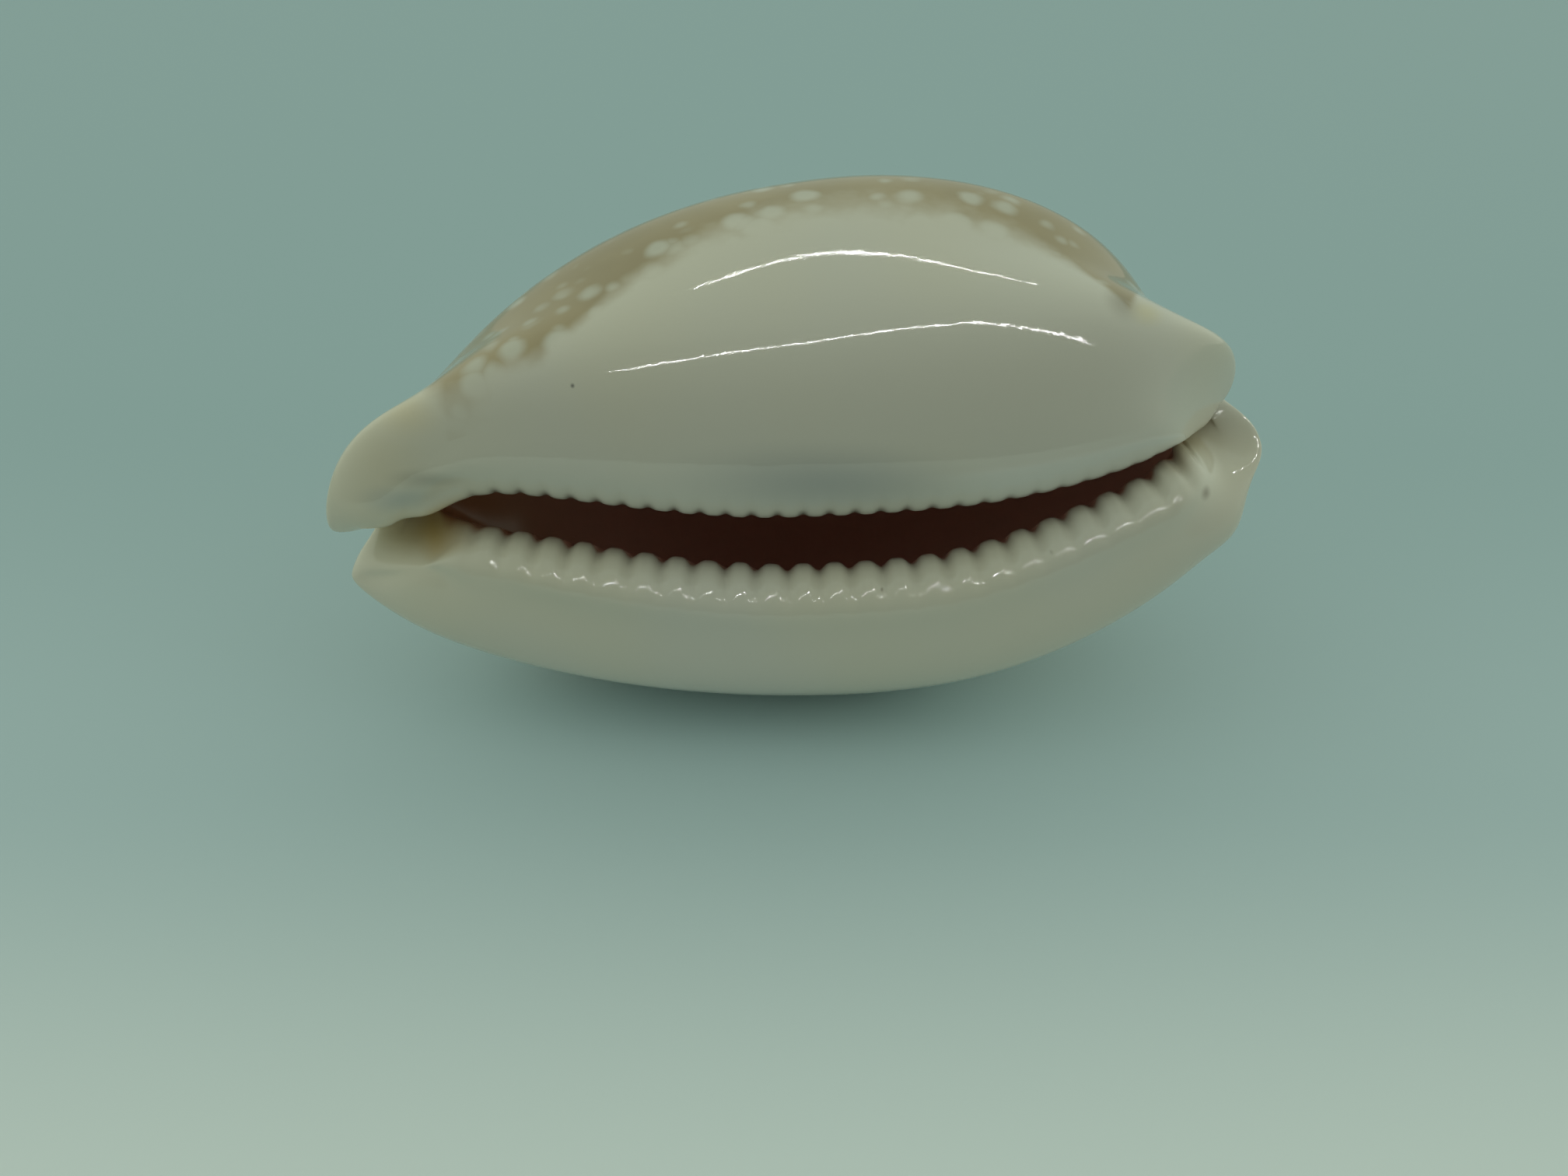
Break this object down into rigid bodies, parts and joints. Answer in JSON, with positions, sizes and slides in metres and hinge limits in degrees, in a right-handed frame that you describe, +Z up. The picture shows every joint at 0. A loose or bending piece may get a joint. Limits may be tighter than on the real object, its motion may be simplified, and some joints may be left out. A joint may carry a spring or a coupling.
{
  "type": "camel cowry shell",
  "caption": "Glossy egg-shaped sea shell with a domed back, a thick rolled margin and a long toothed slot, lying on the side of its outer lip.",
  "frame": {"origin": "bottom centre of the bounding box, in the pose in which the shell lies", "axes": "+X along the shell, from its front (siphon) end to its back (spire) end; +Z up, towards the inner-lip side of the shell; -Y the way that the toothed slot faces"},
  "size_m": [0.0628, 0.0348, 0.0356],
  "materials": {
    "shell": "polished porcelain gloss, white callus, tan back with pale round spots, dark maroon inside"
  },
  "bodies": {
    "root": {"cowry_shell": "shell"}
  },
  "joints": []
}
